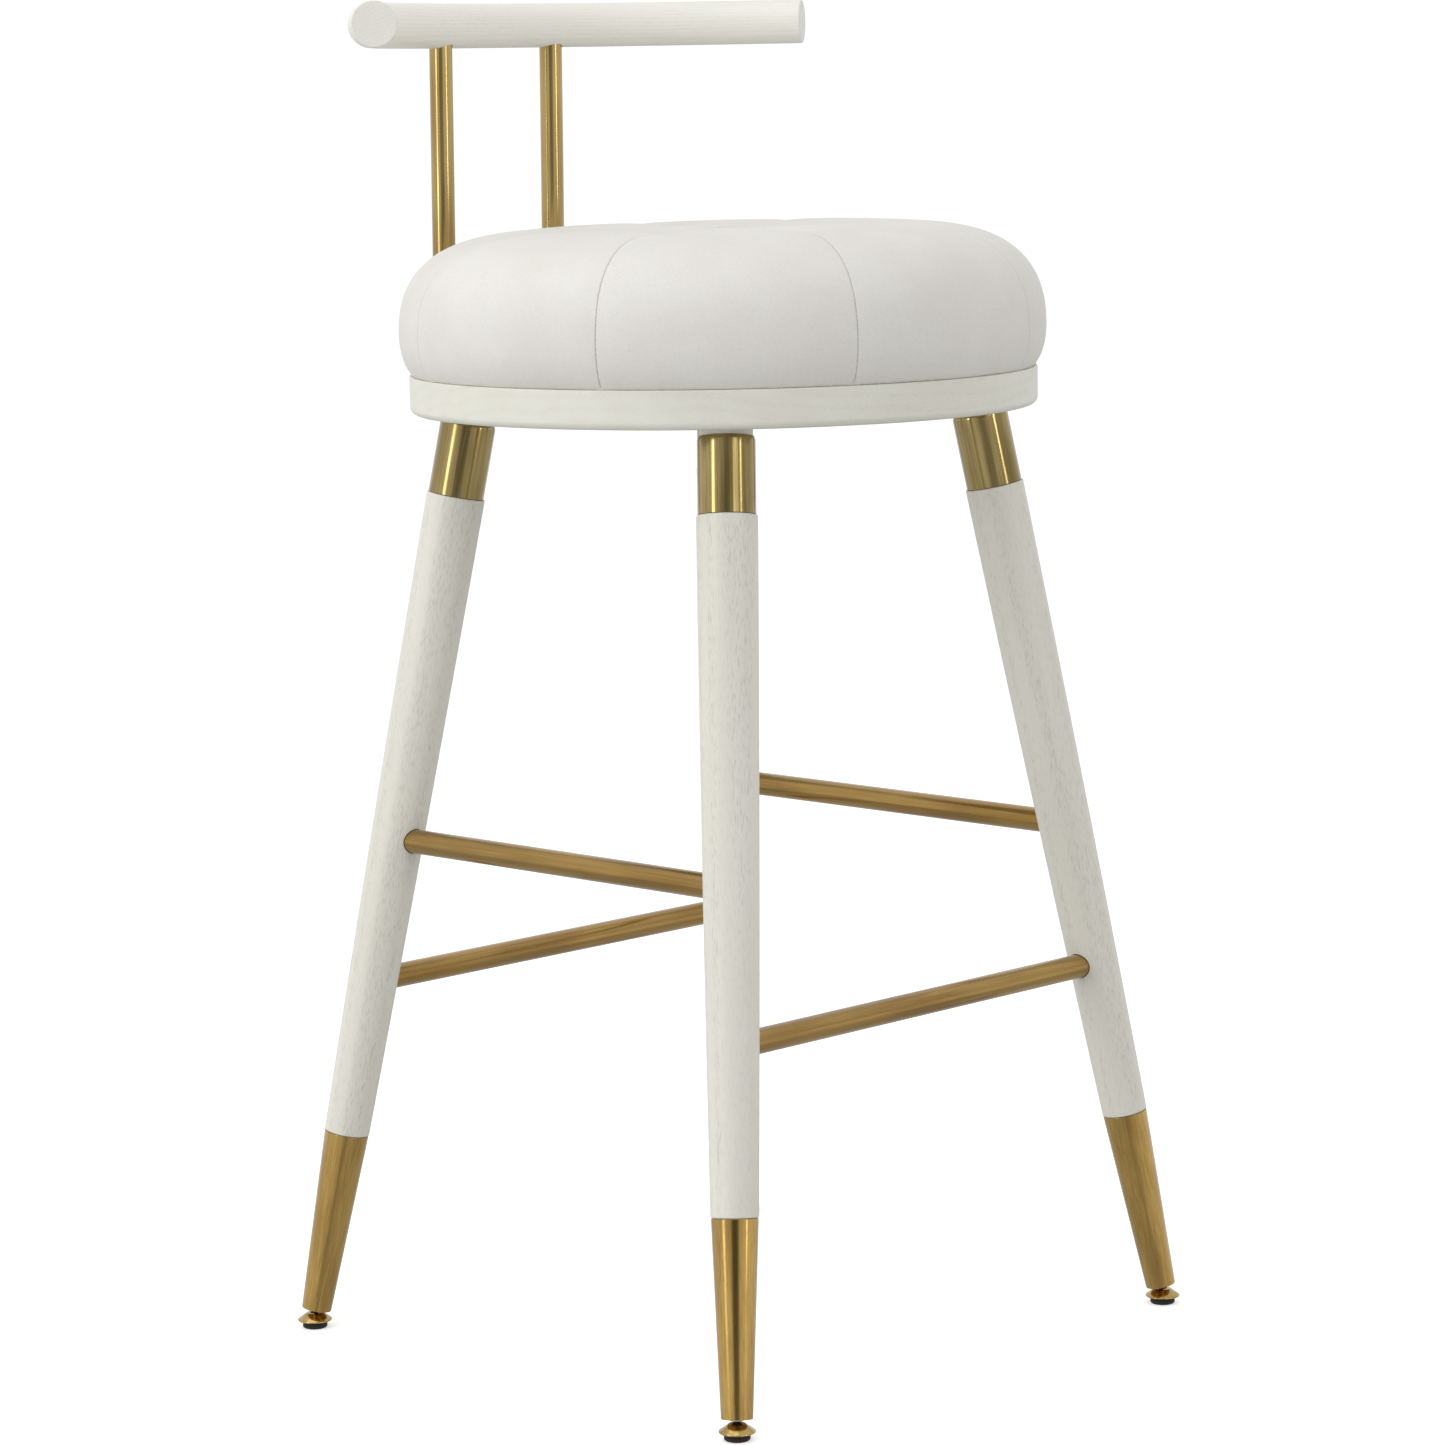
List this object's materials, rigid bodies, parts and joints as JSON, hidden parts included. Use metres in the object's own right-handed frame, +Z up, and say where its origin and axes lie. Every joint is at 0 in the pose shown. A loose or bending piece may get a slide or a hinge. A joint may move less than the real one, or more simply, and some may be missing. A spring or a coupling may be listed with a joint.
{
  "type": "bar stool",
  "caption": "Round padded bar stool on splayed turned legs, with brass stretchers, levelling glides and a low curved back bar.",
  "frame": {"origin": "on the floor, under the middle of the overall box", "axes": "+Z up, the stool faces -Y, +X to the right as seen from the front"},
  "size_m": [0.4582, 0.4618, 0.9197],
  "materials": {
    "painted_wood": "off-white open-pore lacquer on ash, satin, with fine grey pores along the grain",
    "satin_brass": "satin brushed, champagne gold",
    "zinc_steel": "bright zinc plate",
    "vegan_leather": "matt off-white coated fabric with fine sewn seams",
    "foam": "open-cell upholstery foam, hidden under the cover",
    "plywood": "sanded plywood, hidden under the cover",
    "nylon": "natural nylon",
    "pad_rubber": "black, matt"
  },
  "bodies": {
    "stool": {"leg_front_left": "painted_wood", "collar_front_left": "satin_brass", "ferrule_front_left": "satin_brass", "foot_insert_front_left": "zinc_steel", "head_insert_front_left": "zinc_steel", "leg_bolt_front_left": "zinc_steel", "leg_front_right": "painted_wood", "collar_front_right": "satin_brass", "ferrule_front_right": "satin_brass", "foot_insert_front_right": "zinc_steel", "head_insert_front_right": "zinc_steel", "leg_bolt_front_right": "zinc_steel", "leg_back_left": "painted_wood", "collar_back_left": "satin_brass", "ferrule_back_left": "satin_brass", "foot_insert_back_left": "zinc_steel", "head_insert_back_left": "zinc_steel", "leg_bolt_back_left": "zinc_steel", "leg_back_right": "painted_wood", "collar_back_right": "satin_brass", "ferrule_back_right": "satin_brass", "foot_insert_back_right": "zinc_steel", "head_insert_back_right": "zinc_steel", "leg_bolt_back_right": "zinc_steel", "stretcher_front": "satin_brass", "stretcher_back": "satin_brass", "stretcher_left": "satin_brass", "stretcher_right": "satin_brass", "seat_base": "painted_wood", "seat_board": "plywood", "cushion_foam": "foam", "cushion_cover": "vegan_leather", "seat_screw_front": "zinc_steel", "seat_screw_back": "zinc_steel", "seat_screw_left": "zinc_steel", "seat_screw_right": "zinc_steel", "back_plate": "satin_brass", "back_plate_screw_front_left": "zinc_steel", "back_plate_screw_front_right": "zinc_steel", "back_plate_screw_back_left": "zinc_steel", "back_plate_screw_back_right": "zinc_steel", "back_post_left": "satin_brass", "back_post_right": "satin_brass", "back_bar": "painted_wood"},
    "front_left_ball": {"glide_ball_front_left": "nylon"},
    "front_left_stem": {"glide_stem_front_left": "zinc_steel"},
    "front_left_foot": {"glide_foot_front_left": "satin_brass", "glide_pad_front_left": "pad_rubber"},
    "front_right_ball": {"glide_ball_front_right": "nylon"},
    "front_right_stem": {"glide_stem_front_right": "zinc_steel"},
    "front_right_foot": {"glide_foot_front_right": "satin_brass", "glide_pad_front_right": "pad_rubber"},
    "back_left_ball": {"glide_ball_back_left": "nylon"},
    "back_left_stem": {"glide_stem_back_left": "zinc_steel"},
    "back_left_foot": {"glide_foot_back_left": "satin_brass", "glide_pad_back_left": "pad_rubber"},
    "back_right_ball": {"glide_ball_back_right": "nylon"},
    "back_right_stem": {"glide_stem_back_right": "zinc_steel"},
    "back_right_foot": {"glide_foot_back_right": "satin_brass", "glide_pad_back_right": "pad_rubber"}
  },
  "joints": [
    {"name": "front_left_travel", "type": "slide", "parent": "stool", "child": "front_left_ball", "axis": [-0.1439, -0.1301, -0.981], "range_m": [0, 0.0075]},
    {"name": "front_left_screw", "type": "hinge", "parent": "front_left_ball", "child": "front_left_stem", "pos_m": [-0.21703, -0.21599, 0.0066], "axis": [-0.1439, -0.1301, -0.981], "range_deg": [0, 2160]},
    {"name": "front_left_tilt", "type": "hinge", "parent": "front_left_ball", "child": "front_left_foot", "pos_m": [-0.21703, -0.21599, 0.0066], "axis": [-0.6707, 0.7417, 0], "range_deg": [-3.7, 26.2]},
    {"name": "front_right_travel", "type": "slide", "parent": "stool", "child": "front_right_ball", "axis": [0.1439, -0.1301, -0.981], "range_m": [0, 0.0075]},
    {"name": "front_right_screw", "type": "hinge", "parent": "front_right_ball", "child": "front_right_stem", "pos_m": [0.21703, -0.21599, 0.0066], "axis": [0.1439, -0.1301, -0.981], "range_deg": [0, 2160]},
    {"name": "front_right_tilt", "type": "hinge", "parent": "front_right_ball", "child": "front_right_foot", "pos_m": [0.21703, -0.21599, 0.0066], "axis": [-0.6707, -0.7417, 0], "range_deg": [-3.7, 26.2]},
    {"name": "back_left_travel", "type": "slide", "parent": "stool", "child": "back_left_ball", "axis": [-0.1439, 0.1301, -0.981], "range_m": [0, 0.0075]},
    {"name": "back_left_screw", "type": "hinge", "parent": "back_left_ball", "child": "back_left_stem", "pos_m": [-0.21703, 0.19626, 0.0066], "axis": [-0.1439, 0.1301, -0.981], "range_deg": [0, 2160]},
    {"name": "back_left_tilt", "type": "hinge", "parent": "back_left_ball", "child": "back_left_foot", "pos_m": [-0.21703, 0.19626, 0.0066], "axis": [0.6707, 0.7417, 0], "range_deg": [-3.7, 26.2]},
    {"name": "back_right_travel", "type": "slide", "parent": "stool", "child": "back_right_ball", "axis": [0.1439, 0.1301, -0.981], "range_m": [0, 0.0075]},
    {"name": "back_right_screw", "type": "hinge", "parent": "back_right_ball", "child": "back_right_stem", "pos_m": [0.21703, 0.19626, 0.0066], "axis": [0.1439, 0.1301, -0.981], "range_deg": [0, 2160]},
    {"name": "back_right_tilt", "type": "hinge", "parent": "back_right_ball", "child": "back_right_foot", "pos_m": [0.21703, 0.19626, 0.0066], "axis": [0.6707, -0.7417, 0], "range_deg": [-3.7, 26.2]}
  ],
  "couplings": [
    {"joint": "front_left_screw", "follows": "front_left_travel", "rad_per_m": 5026.5},
    {"joint": "front_right_screw", "follows": "front_right_travel", "rad_per_m": 5026.5},
    {"joint": "back_left_screw", "follows": "back_left_travel", "rad_per_m": 5026.5},
    {"joint": "back_right_screw", "follows": "back_right_travel", "rad_per_m": 5026.5}
  ]
}
